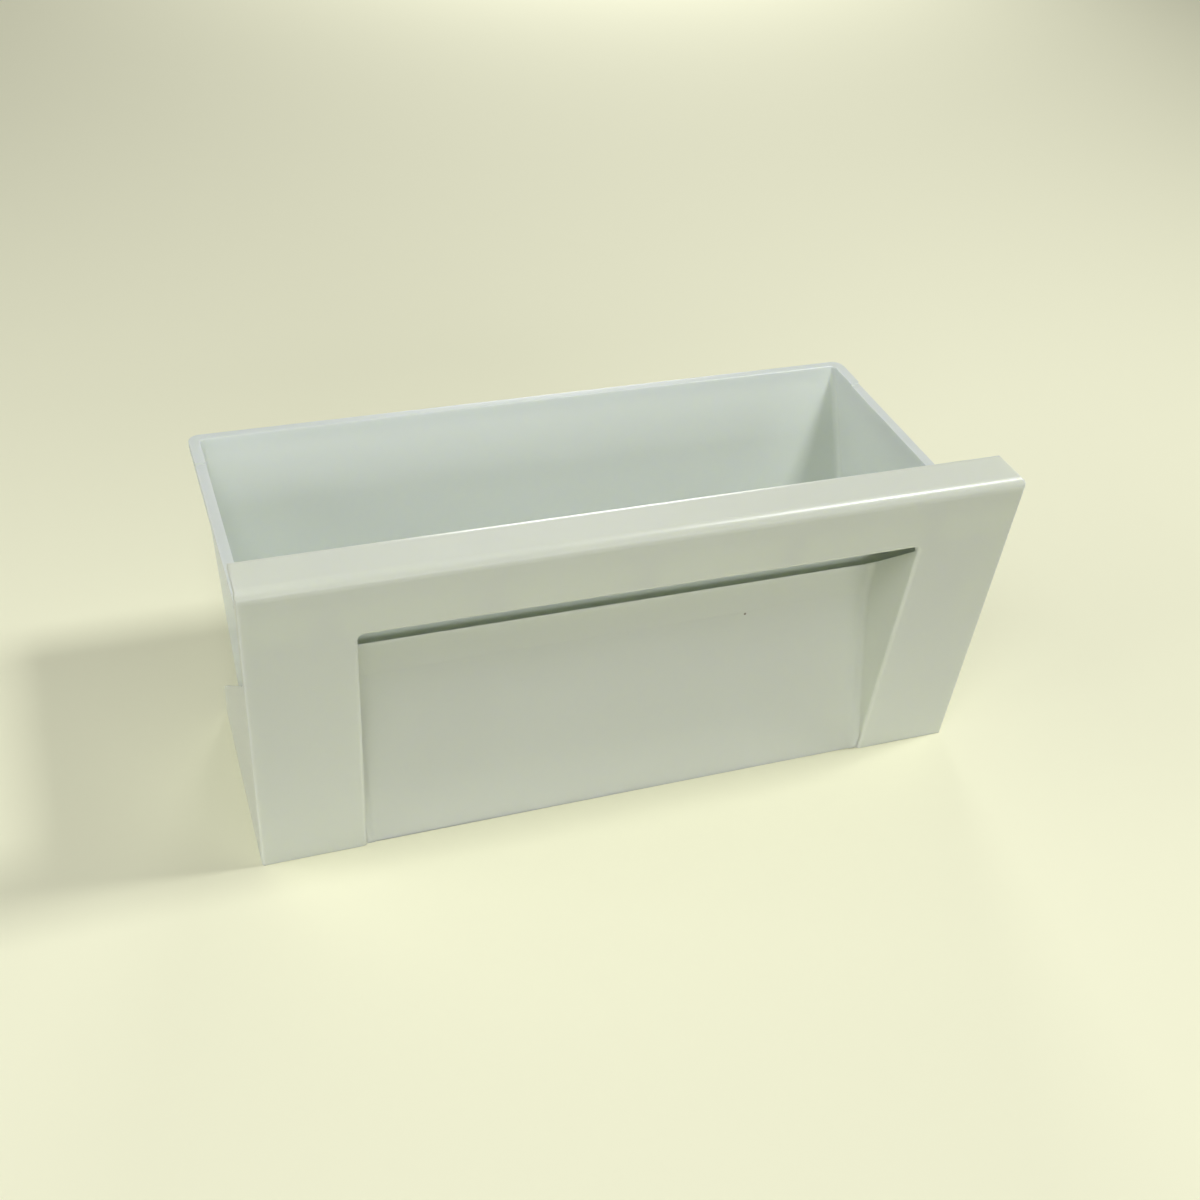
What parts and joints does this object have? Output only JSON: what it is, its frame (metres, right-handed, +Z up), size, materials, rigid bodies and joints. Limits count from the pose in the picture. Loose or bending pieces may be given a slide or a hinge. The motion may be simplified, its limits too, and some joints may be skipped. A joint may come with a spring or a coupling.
{
  "type": "fridge freezer lower drawer",
  "caption": "Lower drawer for a fridge freezer: an open white plastic bin with a slanted back, held in a front panel with a ledge and a wide scooped handle recess.",
  "frame": {"origin": "middle of the drawer in plan, at the level of the surface it stands on", "axes": "+X along the front panel to the right as seen from the front, -Y out of the front panel, +Z up"},
  "size_m": [0.455, 0.214, 0.2],
  "materials": {
    "panel_plastic": "satin moulded white plastic with a slightly cool tint",
    "bin_plastic": "satin moulded white plastic, thin enough to let a little light through"
  },
  "bodies": {
    "root": {"front_panel": "panel_plastic", "bin": "bin_plastic"}
  },
  "joints": []
}
